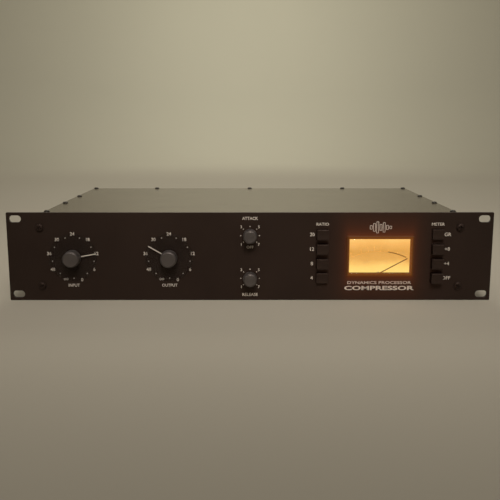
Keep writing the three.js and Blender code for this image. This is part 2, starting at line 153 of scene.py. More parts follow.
def carved(body, *cutters):
    """A bmesh with the cutters' volumes taken out."""
    objects = []
    for bm in (body, *cutters):
        bmesh.ops.recalc_face_normals(bm, faces=bm.faces)
        mesh = bpy.data.meshes.new("scratch")
        bm.to_mesh(mesh)
        bm.free()
        objects.append(placed_in_scene("scratch", mesh))
    for cutter in objects[1:]:
        modifier = objects[0].modifiers.new("carve", "BOOLEAN")
        modifier.operation = "DIFFERENCE"
        modifier.solver = "EXACT"
        modifier.object = cutter
    result = bmesh_of(evaluated(objects[0]))
    for obj in objects:
        bpy.data.meshes.remove(obj.data)
    return result


def turned(profile, x=0.0, z=0.0, segments=64):
    """Revolves (radius, y) points about the line along Y through x and z.

    Each vertex remembers its radius and y, from which turned metal draws its tool marks."""
    bm = bmesh.new()
    stored = bm.verts.layers.float_vector.new("turning")
    rings = []
    for radius, y in profile:
        ring = []
        for step in range(segments if radius > 1e-7 else 1):
            angle = 2 * pi * step / segments
            vertex = bm.verts.new((x + radius * sin(angle), y, z + radius * cos(angle)))
            vertex[stored] = (radius, y, 0)
            ring.append(vertex)
        rings.append(ring)
    for first, second in zip(rings, rings[1:]):
        for step in range(segments):
            after = (step + 1) % segments
            corners = [first[step % len(first)], first[after % len(first)],
                       second[after % len(second)], second[step % len(second)]]
            unique = list(dict.fromkeys(corners))
            if len(unique) > 2:
                bm.faces.new(unique)
    bmesh.ops.remove_doubles(bm, verts=bm.verts, dist=1e-8)
    return bm


def rod(radius, near, far, x=0.0, z=0.0, segments=20):
    """A plain cylinder between two depths along Y."""
    return turned([(0, near), (radius, near), (radius, far), (0, far)], x, z, segments)


def softened(profile, radius, steps=3):
    """Rounds each inner corner of an open profile by up to the given radius."""
    result = [profile[0]]
    for before, corner, after in zip(profile, profile[1:], profile[2:]):
        before, corner, after = Vector(before), Vector(corner), Vector(after)
        reach = min(radius, (before - corner).length * 0.45, (after - corner).length * 0.45)
        start = corner + (before - corner).normalized() * reach
        end = corner + (after - corner).normalized() * reach
        for step in range(steps + 1):
            t = step / steps
            point = start * (1 - t) ** 2 + corner * 2 * t * (1 - t) + end * t * t
            result.append((point.x, point.y))
    result.append(profile[-1])
    return result


def box(low, high, radius=0.25 * MM, segments=2):
    """A box between two corners, with rounded edges."""
    bm = bmesh.new()
    low, high = Vector(low), Vector(high)
    bmesh.ops.create_cube(bm, size=1, matrix=Matrix.LocRotScale((low + high) / 2, None, high - low))
    if radius:
        bmesh.ops.bevel(bm, geom=bm.edges[:], offset=radius, segments=segments, profile=0.5, affect="EDGES")
    return bm


def circle(radius, x=0.0, z=0.0, steps=48):
    turn = 2 * pi / steps
    return [(x + radius * cos(i * turn), z + radius * sin(i * turn)) for i in range(steps)]


def rounded_rectangle(width, height, radius, x=0.0, z=0.0, steps=6):
    points = []
    for quarter, (side, up) in enumerate([(1, 1), (-1, 1), (-1, -1), (1, -1)]):
        for step in range(steps + 1):
            angle = (quarter + step / steps) * pi / 2
            points.append((x + side * (width / 2 - radius) + radius * cos(angle),
                           z + up * (height / 2 - radius) + radius * sin(angle)))
    return points


def front_outline(node, radius, gap=0.0):
    """A rounded rectangle as wide and tall as a node, plus a gap."""
    low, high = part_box(node)
    return rounded_rectangle(high.x - low.x + gap, high.z - low.z + gap, radius, *middle(node))


def sheet(outlines, near, far, bevel=0.25 * MM, facing=FACING_FRONT):
    """A plate with rounded edges from closed outlines: the first is its edge, the others are holes.

    It lies between two depths, measured along Y, or along Z if it faces up."""
    curve = bpy.data.curves.new("sheet", "CURVE")
    curve.dimensions = "2D"
    curve.fill_mode = "BOTH"
    curve.extrude = (far - near) / 2 - bevel
    curve.bevel_depth = bevel
    curve.bevel_resolution = 1
    curve.offset = -bevel
    for outline in outlines:
        spline = curve.splines.new("POLY")
        spline.points.add(len(outline) - 1)
        for point, (u, v) in zip(spline.points, outline):
            point.co = (u, v, 0, 1)
        spline.use_cyclic_u = True
    depth = (near + far) / 2
    place = (0, 0, depth) if facing is FACING_UP else (0, depth, 0)
    mesh = mesh_of(curve)
    mesh.transform(Matrix.Translation(place) @ facing)
    return bmesh_of(mesh)


def around(centre, radius, degrees):
    """A point on a circle, counted clockwise from the top."""
    angle = radians(degrees)
    return centre[0] + radius * sin(angle), centre[1] + radius * cos(angle)


def ribbon(points, width, y, thickness, closed=False):
    """A flat strip of constant width that follows (x, z) points in a plane at y."""
    bm = bmesh.new()
    rows = []
    count = len(points)
    for index in range(count):
        ahead = points[(index + 1) % count] if closed else points[min(index + 1, count - 1)]
        behind = points[index - 1] if closed else points[max(index - 1, 0)]
        along = (Vector(ahead) - Vector(behind)).normalized()
        side = Vector((-along.y, along.x)) * width / 2
        x, z = points[index]
        near, far = y - thickness / 2, y + thickness / 2
        rows.append([bm.verts.new((x + side.x * s, depth, z + side.y * s))
                     for s, depth in ((1, near), (1, far), (-1, far), (-1, near))])
    for first, second in zip(rows, rows[1:] + (rows[:1] if closed else [])):
        for corner in range(4):
            after = (corner + 1) % 4
            bm.faces.new((first[corner], first[after], second[after], second[corner]))
    if not closed:
        bm.faces.new(rows[0])
        bm.faces.new(rows[-1])
    return bm


PRINT = 0.06 * MM


def lettering(text, height, x, z, y=None, width=None, bold=0.012, facing=FACING_FRONT):
    """Printed characters of a given height, and width if stated, centred on x and z."""
    curve = bpy.data.curves.new("lettering", "FONT")
    curve.body = text
    curve.size = 1
    curve.extrude = 0.5
    curve.offset = bold
    curve.resolution_u = 3
    mesh = mesh_of(curve)
    xs = [vertex.co.x for vertex in mesh.vertices]
    ys = [vertex.co.y for vertex in mesh.vertices]
    tall = height / (max(ys) - min(ys))
    wide = width / (max(xs) - min(xs)) if width else tall
    mesh.transform(Matrix.Translation((-(max(xs) + min(xs)) / 2, -(max(ys) + min(ys)) / 2, 0)))
    mesh.transform(Matrix.Diagonal((wide, tall, PRINT, 1)))
    mesh.transform(Matrix.Translation((x, FACE if y is None else y, z)) @ facing)
    return bmesh_of(mesh, 1e-8)


def screw_head(radius, height, drive="cross", segments=24):
    """A pan head on the plane y = 0, facing -Y, with a cross or a single-slot recess."""
    profile = [(0, 0), (radius, 0), (radius, -height * 0.35), (radius * 0.86, -height * 0.78),
               (radius * 0.45, -height), (0, -height)]
    head = turned(softened(profile, radius * 0.25), segments=segments)
    half, reach = radius * 0.13, radius * (0.6 if drive == "cross" else 1.2)
    near, far = -height * 1.4, -height * 0.35
    cutters = [box((-reach, near, -half), (reach, far, half), 0)]
    if drive == "cross":
        cutters.append(box((-half, near, -reach), (half, far, reach), 0))
    return carved(head, *cutters)


def placed(bm, place, turn=0.0, facing=Matrix.Identity(4)):
    """Turns a front-facing part about Y, points it another way, and puts it somewhere."""
    return moved(bm, Matrix.Translation(place) @ facing @ Matrix.Rotation(turn, 4, "Y"))


TO_REAR = Matrix.Rotation(pi, 4, "Z")
TO_TOP = Matrix.Rotation(-pi / 2, 4, "X")
TO_BOTTOM = Matrix.Rotation(pi / 2, 4, "X")

# ---- materials


def linear(value):
    """A screen value from 0 to 255, as a shader wants it."""
    share = value / 255
    return share / 12.92 if share <= 0.04045 else ((share + 0.055) / 1.055) ** 2.4


class Shader:
    """A node material being built: one Principled shader, object coordinates, and short node calls."""

    def __init__(self, name):
        self.material = bpy.data.materials.new(name)
        self.material.use_nodes = True
        self.tree = self.material.node_tree
        self.surface = self.tree.nodes["Principled BSDF"]
        self.place = self.node("ShaderNodeTexCoord").outputs["Object"]

    def node(self, kind, inputs=None, **settings):
        made = self.tree.nodes.new(kind)
        for key, value in settings.items():
            setattr(made, key, value)
        for key, value in (inputs or {}).items():
            self.feed(value, made.inputs[key])
        return made

    def feed(self, value, target):
        if isinstance(value, bpy.types.NodeSocket):
            self.tree.links.new(value, target)
        elif hasattr(value, "__len__") and len(value) == 3 and len(target.default_value) == 4:
            target.default_value = (*value, 1)
        else:
            target.default_value = value

    def set(self, **inputs):
        for key, value in inputs.items():
            self.feed(value, self.surface.inputs[key.replace("_", " ")])
        return self.material

    def noise(self, scale, detail=3.0, roughness=0.55, stretch=(1, 1, 1)):
        mapping = self.node("ShaderNodeMapping", {"Scale": stretch, "Vector": self.place})
        made = self.node("ShaderNodeTexNoise", {"Scale": scale, "Detail": detail, "Roughness": roughness,
                                                "Vector": mapping.outputs["Vector"]})
        return made.outputs["Fac"]

    def math(self, operation, first, second=0.0):
        return self.node("ShaderNodeMath", {0: first, 1: second}, operation=operation).outputs[0]

    def span(self, value, low, high, to_low=0.0, to_high=1.0):
        """Maps value from low..high to to_low..to_high, held at both ends."""
        return self.node("ShaderNodeMapRange", {0: value, 1: low, 2: high, 3: to_low, 4: to_high}).outputs[0]

    def mix(self, share, first, second):
        made = self.node("ShaderNodeMix", {"Factor": share, "A": first, "B": second}, data_type="RGBA")
        return made.outputs["Result"]

    def vary(self, share, colour, low, high):
        """The colour, scaled from low to high times by the share."""
        return self.mix(share, tuple(c * low for c in colour), tuple(c * high for c in colour))

    def uneven(self, scale, low, high, detail=3.0, roughness=0.55):
        """A value that wanders between low and high."""
        return self.span(self.noise(scale, detail, roughness), 0.3, 0.7, low, high)

    def ramp(self, value, stops):
        """A colour ramp from (position, screen colour) stops."""
        made = self.node("ShaderNodeValToRGB", {"Fac": value})
        while len(made.color_ramp.elements) < len(stops):
            made.color_ramp.elements.new(0.5)
        for element, (position, colour) in zip(made.color_ramp.elements, stops):
            element.position = position
            element.color = (*map(linear, colour), 1)
        return made.outputs["Color"]

    def bump(self, height, strength, distance):
        made = self.node("ShaderNodeBump", {"Strength": strength, "Distance": distance, "Height": height})
        self.set(Normal=made.outputs["Normal"])

    def axis(self, letter):
        return self.node("ShaderNodeSeparateXYZ", {0: self.place}).outputs[letter]

    def turning(self, part):
        """The radius ("X") or depth ("Y") that turned() stored on the mesh."""
        stored = self.node("ShaderNodeAttribute", attribute_name="turning")
        return self.node("ShaderNodeSeparateXYZ", {0: stored.outputs["Vector"]}).outputs[part]

    def worn_edges(self, radius, low, high):
        """1 on the patches of sharp edges where paint has rubbed off, 0 elsewhere."""
        rounded = self.node("ShaderNodeBevel", {"Radius": radius}, samples=4)
        true = self.node("ShaderNodeNewGeometry")
        product = self.node("ShaderNodeVectorMath", {0: rounded.outputs["Normal"], 1: true.outputs["Normal"]},
                            operation="DOT_PRODUCT")
        edge = self.span(product.outputs["Value"], 0.99, 0.84)
        return self.math("MULTIPLY", edge, self.span(self.noise(170, 5), low, high))

    def window_distance(self):
        """How far a point lies outside the meter window; sideways counts for more."""
        beyond = []
        for letter, centre, half, weight in (
                ("X", WINDOW[0], (lens_high.x - lens_low.x) / 2, 2.4),
                ("Z", WINDOW[1], (lens_high.z - lens_low.z) / 2, 1.0)):
            offset = self.math("ABSOLUTE", self.math("SUBTRACT", self.axis(letter), centre))
            outside = self.math("MAXIMUM", self.math("SUBTRACT", offset, half), 0.0)
            beyond.append(self.math("MULTIPLY", outside, weight))
        squares = [self.math("MULTIPLY", value, value) for value in beyond]
        return self.math("SQRT", self.math("ADD", *squares))

    def painted_light_falloff(self, near, far):
        """How strongly the meter's painted light shows: 1 at the window's edge, halved at a distance of near,
        and gone beyond a few times far.
        """
        distance = self.window_distance()
        halved = self.math("DIVIDE", 1.0, self.math("ADD", self.math("DIVIDE", distance, near), 1.0))
        return self.math("MULTIPLY", halved, self.math("EXPONENT", self.math("DIVIDE", distance, -far)))


def paint(name, colour, roughness, specular=0.5, tint=(1, 1, 1), peel=0.10, cloud=0.15, dust=0.10, wear=1.0,
          lacquer=0.0, painted_meter_glow=0.0):
    """Baked enamel: a fine orange-peel skin, cloudy gloss, specks of dust, and rubbed edges. It may also
    carry painted light: the meter's amber glow, painted in around the window.
    """
    shader = Shader(name)
    base = shader.vary(shader.uneven(14, 0, 1, 4), colour, 1 - cloud, 1 + cloud)
    specks = shader.span(shader.noise(2600, 1), 0.75, 0.82, 0, dust)
    base = shader.mix(specks, base, (0.16, 0.14, 0.11))
    rubbed = shader.math("MULTIPLY", shader.worn_edges(0.5 * MM, 0.58, 0.68), wear)
    base = shader.mix(rubbed, base, (0.12, 0.11, 0.10))
    gloss = shader.uneven(22, roughness - 0.2 * cloud, roughness + 0.4 * cloud, 5, 0.65)
    shader.bump(shader.noise(900, 2), peel, 0.05 * MM)
    if painted_meter_glow:
        # painted light: the meter's amber spill glows in the paint and fades away from the window
        painted_glow = shader.math("MULTIPLY", shader.painted_light_falloff(3 * MM, 40 * MM), painted_meter_glow)
        shader.set(Emission_Color=(1.0, 0.19, 0.03), Emission_Strength=painted_glow)
    if lacquer:
        shader.set(Coat_Weight=lacquer, Coat_Roughness=0.2)
    return shader.set(Base_Color=base, Roughness=gloss, Specular_IOR_Level=specular, Specular_Tint=tint)


def moulded(name, colour, roughness, specular=0.4, tint=(1, 1, 1), painted_glow=0.0):
    """Moulded plastic with a fine spark-eroded grain. Near the meter's window it may carry painted light: the
    meter's amber glow, painted in as emission.
    """
    shader = Shader(name)
    base = shader.vary(shader.noise(60), colour, 0.85, 1.15)
    gloss = shader.uneven(90, roughness - 0.05, roughness + 0.06, 4)
    shader.bump(shader.noise(3200, 2), 0.12, 0.03 * MM)
    if painted_glow:
        # painted light: an amber glow that is strongest at the meter window and fades away from it
        light = shader.math("MULTIPLY", shader.painted_light_falloff(4 * MM, 12 * MM), painted_glow)
        shader.set(Emission_Color=(1.0, 0.26, 0.02), Emission_Strength=light)
    return shader.set(Base_Color=base, Roughness=gloss, Specular_IOR_Level=specular, Specular_Tint=tint)


def turned_metal(name, colour, roughness, pitch=0.16 * MM):
    """Lathe-turned metal: rings on its faces, hoops on its sides, and a stretched highlight."""
    shader = Shader(name)
    along = shader.math("ADD", shader.turning("X"), shader.turning("Y"))
    wave = shader.math("SINE", shader.math("MULTIPLY", along, 2 * pi / pitch))
    uneven = shader.node("ShaderNodeTexNoise", {"Scale": 2600, "Detail": 3, "W": along},
                         noise_dimensions="1D")
    marks = shader.math("ADD", shader.math("MULTIPLY", wave, 0.35), uneven.outputs["Fac"])
    tone = shader.vary(shader.span(uneven.outputs["Fac"], 0.3, 0.7), colour, 0.86, 1.1)
    gloss = shader.uneven(120, roughness - 0.04, roughness + 0.08, 4)
    tangent = shader.node("ShaderNodeTangent", direction_type="RADIAL", axis="Y")
    shader.bump(marks, 0.16, 0.02 * MM)
    return shader.set(Base_Color=tone, Metallic=0.6, Roughness=gloss, Anisotropic=0.3,
                      Anisotropic_Rotation=0.25, Tangent=tangent.outputs["Tangent"])


def metal(name, colour, roughness, metallic=1.0, stretch=(1, 1, 1), scale=700):
    """Plated or rolled metal with a fine grain, which stretch can draw out."""
    shader = Shader(name)
    grain = shader.noise(scale, 4, stretch=stretch)
    tone = shader.vary(grain, colour, 0.78, 1.14)
    gloss = shader.span(grain, 0.3, 0.7, roughness - 0.06, roughness + 0.08)
    shader.bump(grain, 0.08, 0.03 * MM)
    return shader.set(Base_Color=tone, Metallic=metallic, Roughness=gloss)


def printed(name, colour, painted_meter_tint=0.0, lit=0.0):
    """Screen-printed ink, thin in places, with the meter's warm light painted on it near the window, or lit
    from behind.
    """
    shader = Shader(name)
    thin = shader.span(shader.noise(1400, 4), 0.35, 0.6)
    tone = shader.vary(thin, colour, 0.72, 1)
    if painted_meter_tint:
        # painted light: the ink is tinted towards the meter's amber near the window
        share = shader.math("MULTIPLY", shader.painted_light_falloff(6 * MM, 12 * MM), painted_meter_tint)
        tone = shader.mix(share, tone, (0.5, 0.16, 0.09))
    if lit:
        shader.set(Emission_Color=tone, Emission_Strength=lit)
    return shader.set(Base_Color=tone, Roughness=0.55, Specular_IOR_Level=0.3)


def clear(name, tint, roughness):
    """Clear acrylic with faint hairline scratches in its gloss."""
    shader = Shader(name)
    scratches = shader.noise(500, 5, stretch=(1, 1, 9))
    gloss = shader.span(scratches, 0.5, 0.75, roughness, roughness + 0.12)
    return shader.set(Base_Color=tint, Roughness=gloss, Transmission_Weight=1.0, IOR=1.49)


def faint(name, colour, alpha):
    """A clear disc so thin that only its gloss and a trace of haze show."""
    shader = Shader(name)
    haze = shader.uneven(300, 0, 1, 4)
    base = shader.vary(haze, colour, 0.8, 1.2)
    return shader.set(Base_Color=base, Roughness=shader.span(haze, 0, 1, 0.12, 0.22), Alpha=alpha)


def lit(name, stops, patch, strength, base, roughness, paper=0.0):
    """A translucent face lit by lamps above and below it, dimmer across the middle."""
    shader = Shader(name)
    height = shader.span(shader.axis("Z"), lens_low.z, lens_high.z)
    scale, drift = patch
    colour = shader.ramp(shader.math("ADD", height, shader.uneven(scale, -drift, drift)), stops)
    if paper:
        strength = shader.span(shader.noise(2200), 0.2, 0.8, strength * (1 - paper), strength * (1 + paper))
    return shader.set(Base_Color=base, Roughness=roughness, Emission_Color=colour, Emission_Strength=strength)



WARM = (1.0, 0.74, 0.63)
SATIN_BLACK = (0.0190, 0.0118, 0.0092)
# the panel's paint carries a painted amber glow around the meter window
PANEL_BLACK = paint("panel_black", SATIN_BLACK, 0.5, specular=0.32, tint=WARM, painted_meter_glow=0.18)
PANEL_SCREW_BLACK = paint("panel_screw_black", SATIN_BLACK, 0.5, specular=0.32, tint=WARM, peel=0.03,
                          wear=0.3)
CASE_PAINT = paint("case_paint", (0.060, 0.043, 0.026), 0.24, specular=0.7, tint=(1, 0.80, 0.52), peel=0.015,
                   cloud=0.05, dust=0.03, lacquer=0.2)
SCREW_BLACK = metal("screw_black", (0.032, 0.026, 0.020), 0.40, metallic=0.4)
ZINC = metal("zinc_plate", (0.52, 0.50, 0.46), 0.3)
NICKEL = metal("nickel_plate", (0.66, 0.63, 0.58), 0.22)
ALUMINIUM = metal("rolled_aluminium", (0.58, 0.58, 0.57), 0.34, stretch=(1, 1, 12))
KNOB_METAL = turned_metal("knob_aluminium", (0.12, 0.103, 0.098), 0.38)
# The buttons' black is painted 10% lighter than the panel's, to lift the shade that falls on their faces.
BUTTON_BLACK = moulded("button_black", tuple(c * 1.1 for c in SATIN_BLACK), 0.48, specular=0.34, tint=WARM)
MOULDED_BLACK = moulded("moulded_black", (0.014, 0.013, 0.012), 0.46)
# the bezel's amber glow near the window is painted light
BEZEL_BLACK = moulded("bezel_black", (0.012, 0.009, 0.007), 0.5, specular=0.25, painted_glow=0.2)
BOARD_GREEN = moulded("board_green", (0.02, 0.09, 0.03), 0.45)
INK = printed("white_ink", (0.74, 0.66, 0.58), painted_meter_tint=0.55)
REAR_INK = printed("rear_ink", (0.62, 0.60, 0.56))
SCALE_INK = printed("scale_ink", (0.30, 0.13, 0.018), lit=0.55)
FAINT_INK = printed("faint_ink", (0.95, 0.50, 0.12), lit=0.45)
# the needle's amber glow is painted backlight from the meter lamps
NEEDLE_BLACK = moulded("needle_black", (0.06, 0.022, 0.006), 0.5, specular=0.1, painted_glow=0.13)
CLEAR_SKIRT = faint("clear_skirt", (0.012, 0.010, 0.009), 0.12)
CLEAR_LENS = clear("clear_lens", (1.0, 0.98, 0.95), 0.02)
AMBER_CARD = lit("amber_card", [
    (0.0, (255, 218, 124)), (0.16, (255, 208, 112)), (0.36, (228, 168, 82)),
    (0.58, (221, 160, 74)), (0.82, (246, 184, 98)), (1.0, (255, 204, 118)),
], (55, 0.06), 1.07, (0.05, 0.04, 0.03), 0.7, paper=0.03)
AMBER_WALLS = lit("amber_walls", [
    (0.0, (255, 214, 130)), (0.26, (255, 200, 118)), (0.40, (214, 150, 80)),
    (0.66, (206, 140, 74)), (0.78, (255, 190, 110)), (1.0, (255, 216, 140)),
], (90, 0.05), 1.05, (0.08, 0.06, 0.04), 0.5)

# ---- front panel


def front_panel():
    outlines = [front_outline("front_panel", 1.0 * MM)]
    length, width = 12 * MM, 7 * MM
    for x in (-232.55 * MM, 232.55 * MM):
        for z in (PANEL_MIDDLE - 38.1 * MM, PANEL_MIDDLE + 38.1 * MM):
            outlines.append(rounded_rectangle(length, width, width / 2 - 1e-6, x, z, steps=12))
    for node in PANEL_SCREWS:
        outlines.append(circle(2.25 * MM, *middle(node)))
    for control, radius in (("input", 4.9), ("output", 4.9), ("attack", 3.5), ("release", 3.5)):
        outlines.append(circle(radius * MM, *middle(f"{control}_shaft")))
    for node in RATIO_BUTTONS + METER_BUTTONS:
        outlines.append(front_outline(node, 0.6 * MM, 0.3 * MM))
    outlines.append(front_outline("meter_lens", 0.6 * MM, 0.6 * MM))
    bm = sheet(outlines, FACE, PANEL_BACK, bevel=0.3 * MM)
    piece("front_panel_shell", bm, PANEL_BLACK, node="front_panel")


def panel_screws():
    for index, node in enumerate(PANEL_SCREWS):
        low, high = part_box(node)
        x, z = middle(node)
        head = screw_head((high.x - low.x) / 2, FACE - low.y, segments=40)
        head = placed(head, (x, FACE, z), 0.4 + 1.1 * index)
        shank = rod(1.9 * MM, FACE, high.y, x, z)
        piece(f"{node}_body", joined(head, shank), PANEL_SCREW_BLACK, node=node)


# ---- printing on the panel


def dot(x, z, radius=0.55 * MM):
    return rod(radius, FACE - PRINT / 2, FACE + PRINT / 2, x, z, 16)


def infinity_sign(x, z, width, line):
    points = []
    for step in range(48):
        t = 2 * pi * step / 48
        scale = width / 2 / (1 + sin(t) ** 2)
        points.append((x + scale * cos(t), z + 1.25 * scale * sin(t) * cos(t)))
    return ribbon(points, line, FACE, PRINT, closed=True)


def dial_markings(control, name, name_width):
    """Attenuation in steps from silence at the lower left to zero at the lower right."""
    centre = middle(control)
    parts = [infinity_sign(*around(centre, 23.3 * MM, -160), 4.2 * MM, 0.5 * MM)]
    for index, label in enumerate(["48", "36", "30", "24", "18", "12", "6", "0"]):
        x, z = around(centre, 23.9 * MM, -120 + 40 * index)
        parts.append(lettering(label, 3.4 * MM, x, z, bold=0.02))
    for degrees in range(-140, 181, 40):
        parts.append(dot(*around(centre, 21 * MM, degrees)))
    parts.append(lettering(name, 3.0 * MM, centre[0], PANEL_MIDDLE - 29 * MM, width=name_width))
    return parts


def small_dial_markings(control, name, name_z):
    centre = middle(control)
    parts = [dot(*around(centre, 9.3 * MM, degrees), 0.5 * MM) for degrees in range(-135, 136, 45)]
    for label, degrees in (("1", -135), ("3", -45), ("5", 45), ("7", 135)):
        parts.append(lettering(label, 2.8 * MM, *around(centre, 12.4 * MM, degrees), bold=0.02))
    parts.append(lettering(name, 3.1 * MM, centre[0], PANEL_MIDDLE + name_z, width=15.6 * MM))
    return parts


def sound_bars(x, z, width, height):
    """A plain emblem: outlined bars that rise and fall like a sound level."""
    levels = [0.35, 0.7, 1.0, 0.55, 0.85, 0.4, 0.25]
    pitch, line = width / len(levels), 0.5 * MM
    parts = []
    for index, level in enumerate(levels):
        bar_x = x + (index - (len(levels) - 1) / 2) * pitch
        wide, tall = pitch * 0.78, height * level
        outer = rounded_rectangle(wide, tall, 0.5 * MM, bar_x, z)
        inner = rounded_rectangle(wide - 2 * line, tall - 2 * line, 0.2 * MM, bar_x, z)
        parts.append(sheet([outer, inner], FACE - PRINT / 2, FACE + PRINT / 2, bevel=0))
    return parts


def panel_markings():
    parts = dial_markings("input_knob", "INPUT", 11.2 * MM)
    parts += dial_markings("output_knob", "OUTPUT", 15.4 * MM)
    parts += small_dial_markings("attack_knob", "ATTACK", 38.6 * MM)
    parts += small_dial_markings("release_knob", "RELEASE", -38.6 * MM)
    attack_x = middle("attack_knob")[0]
    parts.append(lettering("OFF", 2.7 * MM, attack_x, PANEL_MIDDLE + 9.8 * MM, width=7 * MM))

    title_z = PANEL_MIDDLE + 32.8 * MM
    for nodes, labels, offset, title, title_width in (
            (RATIO_BUTTONS, ("20", "12", "8", "4"), -10.2 * MM, "RATIO", 12.4 * MM),
            (METER_BUTTONS, ("GR", "+8", "+4", "OFF"), 10 * MM, "METER", 12.8 * MM)):
        for node, label in zip(nodes, labels):
            x, z = middle(node)
            parts.append(lettering(label, 3.6 * MM, x + offset, z))
        parts.append(lettering(title, 3.0 * MM, middle(nodes[0])[0], title_z, width=title_width))

    parts += sound_bars(WINDOW[0], PANEL_MIDDLE + 29.6 * MM, 22.5 * MM, 11.7 * MM)
    for text, height, drop, width, bold in (("DYNAMICS PROCESSOR", 2.9 * MM, 26.4 * MM, 64 * MM, 0.012),
                                            ("COMPRESSOR", 4.4 * MM, 32 * MM, 70 * MM, 0.03)):
        parts.append(lettering(text, height, WINDOW[0], PANEL_MIDDLE - drop, width=width, bold=bold))
    piece("panel_markings", joined(*parts), INK)


# ---- knobs


def knob(name, recess, recess_depth, hole):
    """A turned knob with a flat face, a chamfered rim, a grooved foot, and a set screw in its side."""
    low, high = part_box(f"{name}_knob")
    x, z = middle(f"{name}_knob")
    radius, front, back = (high.x - low.x) / 2, low.y, high.y
    waist = radius - 0.3 * MM
    profile = [
        (0, front), (radius - 1.5 * MM, front), (waist, front + 1.3 * MM), (radius, back - 2.6 * MM),
        (waist, back - 2.3 * MM), (waist, back - 1.9 * MM), (radius, back - 1.6 * MM),
        (radius, back - 0.3 * MM), (waist, back), (recess, back), (recess, back - recess_depth),
        (hole, back - recess_depth), (hole, front + 2 * MM), (0, front + 2 * MM),
    ]
    body = turned(softened(profile, 0.25 * MM), x, z, 96)
    screw_y = (front + back) / 2 + 1 * MM
    to_side = Matrix.Translation((x, screw_y, z)) @ Matrix.Rotation(-pi / 2, 4, "X")
    tube = moved(rod(1.25 * MM, -radius, 0), Matrix.Translation((0, -0.6 * MM, 0)))
    body = carved(body, moved(tube, to_side))
    piece(f"{name}_knob_body", body, KNOB_METAL, body=f"{name}_control", node=f"{name}_knob")
    tip = -(radius - 0.5 * MM)
    screw = rod(1.15 * MM, tip, tip + 2 * MM)
    socket = rod(0.6 * MM, tip - 1 * MM, tip + 1 * MM, segments=6)
    piece(f"{name}_set_screw", moved(carved(screw, socket), to_side), SCREW_BLACK, body=f"{name}_control")


def knob_pointer(name, degrees, start, end, width, y):
    """A printed line that points from a knob's centre, clockwise from the top."""
    centre = middle(f"{name}_knob")
    points = [around(centre, start, degrees), around(centre, end, degrees)]
    piece(f"{name}_pointer", ribbon(points, width, y, PRINT), INK, body=f"{name}_control")


def knob_skirt(name):
    node = f"{name}_knob_skirt"
    low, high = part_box(node)
    x, z = middle(node)
    hole, radius = 7.5 * MM, (high.x - low.x) / 2
    section = softened([(hole, high.y), (hole, low.y), (radius, low.y), (radius, high.y)], 0.3 * MM)
    bm = turned(section + [section[0]], x, z, 128)
    piece(f"{name}_skirt_disc", bm, CLEAR_SKIRT, f"{name}_control", node)


def knobs():
    for name, degrees in (("input", 80), ("output", -60)):
        knob(name, recess=7.3 * MM, recess_depth=2.8 * MM, hole=3.3 * MM)
        knob_skirt(name)
        skirt_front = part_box(f"{name}_knob_skirt")[0].y
        knob_pointer(name, degrees, 8.6 * MM, 23.6 * MM, 0.95 * MM, skirt_front - PRINT / 2)
    for name in ("attack", "release"):
        knob(name, recess=5.2 * MM, recess_depth=2.4 * MM, hole=1.9 * MM)
        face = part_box(f"{name}_knob")[0].y
        knob_pointer(name, 0, 5.1 * MM, 5.9 * MM, 0.6 * MM, face)


# ---- push buttons


def button(node):
    """A cap with rounded edges and a shallow scoop for the fingertip, on a square stem."""
    low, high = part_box(node)
    x, z = middle(node)
    cap_back = low.y + 11.2 * MM
    cap = box(low, (high.x, cap_back, high.z), 0.55 * MM, 3)
    radius, depth = 30 * MM, 0.25 * MM
    half = high.x - low.x
    scoop = rod(radius, -half, half, segments=160)
    across = Matrix.Translation((x, low.y + depth - radius, z)) @ Matrix.Rotation(pi / 2, 4, "Z")
    cap = carved(cap, moved(scoop, across))
    stem = 2 * MM
    post = box((x - stem, cap_back - 1 * MM, z - stem), (x + stem, high.y, z + stem), 0.2 * MM)
    piece(f"{node}_cap", joined(cap, post), BUTTON_BLACK, body=node, node=node)


# ---- level meter


def meter_case():
    low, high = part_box("meter_bezel")
    rim, opening = front_outline("meter_bezel", 1.4 * MM), front_outline("meter_lens", 0.5 * MM, 0.3 * MM)
    bm = sheet([rim, opening], low.y, high.y, bevel=0.45 * MM)
    piece("meter_bezel_frame", bm, BEZEL_BLACK, node="meter_bezel")
    piece("meter_lens_block", box(lens_low, lens_high, 0.15 * MM, 2), CLEAR_LENS, node="meter_lens")

    left, right = lens_low.x + 0.2 * MM, lens_high.x - 1.4 * MM
    bottom, top = lens_low.z + 0.8 * MM, lens_high.z - 0.1 * MM
    rim = front_outline("meter_lens", 0.5 * MM, 0.4 * MM)
    view = rounded_rectangle(right - left, top - bottom, 0.5 * MM, (left + right) / 2, (bottom + top) / 2)
    mask = sheet([rim, view], lens_high.y + 0.05 * MM, lens_high.y + 0.25 * MM, bevel=0)
    piece("meter_window_mask", mask, BEZEL_BLACK)

    front, back, wall = lens_high.y + 0.3 * MM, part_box("meter_dial")[0].y - 0.1 * MM, 0.3 * MM
    lip = PANEL_BACK + 0.5 * MM
    rim = front_outline("meter_lens", 0.5 * MM, 0.5 * MM)
    opening = front_outline("meter_lens", 0.3 * MM, -0.1 * MM)
    parts = [sheet([rim, opening], front, lip, bevel=0)]
    half_x = (lens_high.x - lens_low.x) / 2 + 0.25 * MM
    half_z = (lens_high.z - lens_low.z) / 2 + 0.25 * MM
    for side in (-1, 1):
        xs = sorted((WINDOW[0] + side * half_x, WINDOW[0] + side * (half_x - wall)))
        parts.append(box((xs[0], lip, WINDOW[1] - half_z), (xs[1], back, WINDOW[1] + half_z), 0))
    parts.append(box((WINDOW[0] - half_x, lip, WINDOW[1] + half_z - wall),
                     (WINDOW[0] + half_x, back, WINDOW[1] + half_z), 0))
    piece("meter_light_walls", joined(*parts), AMBER_WALLS)


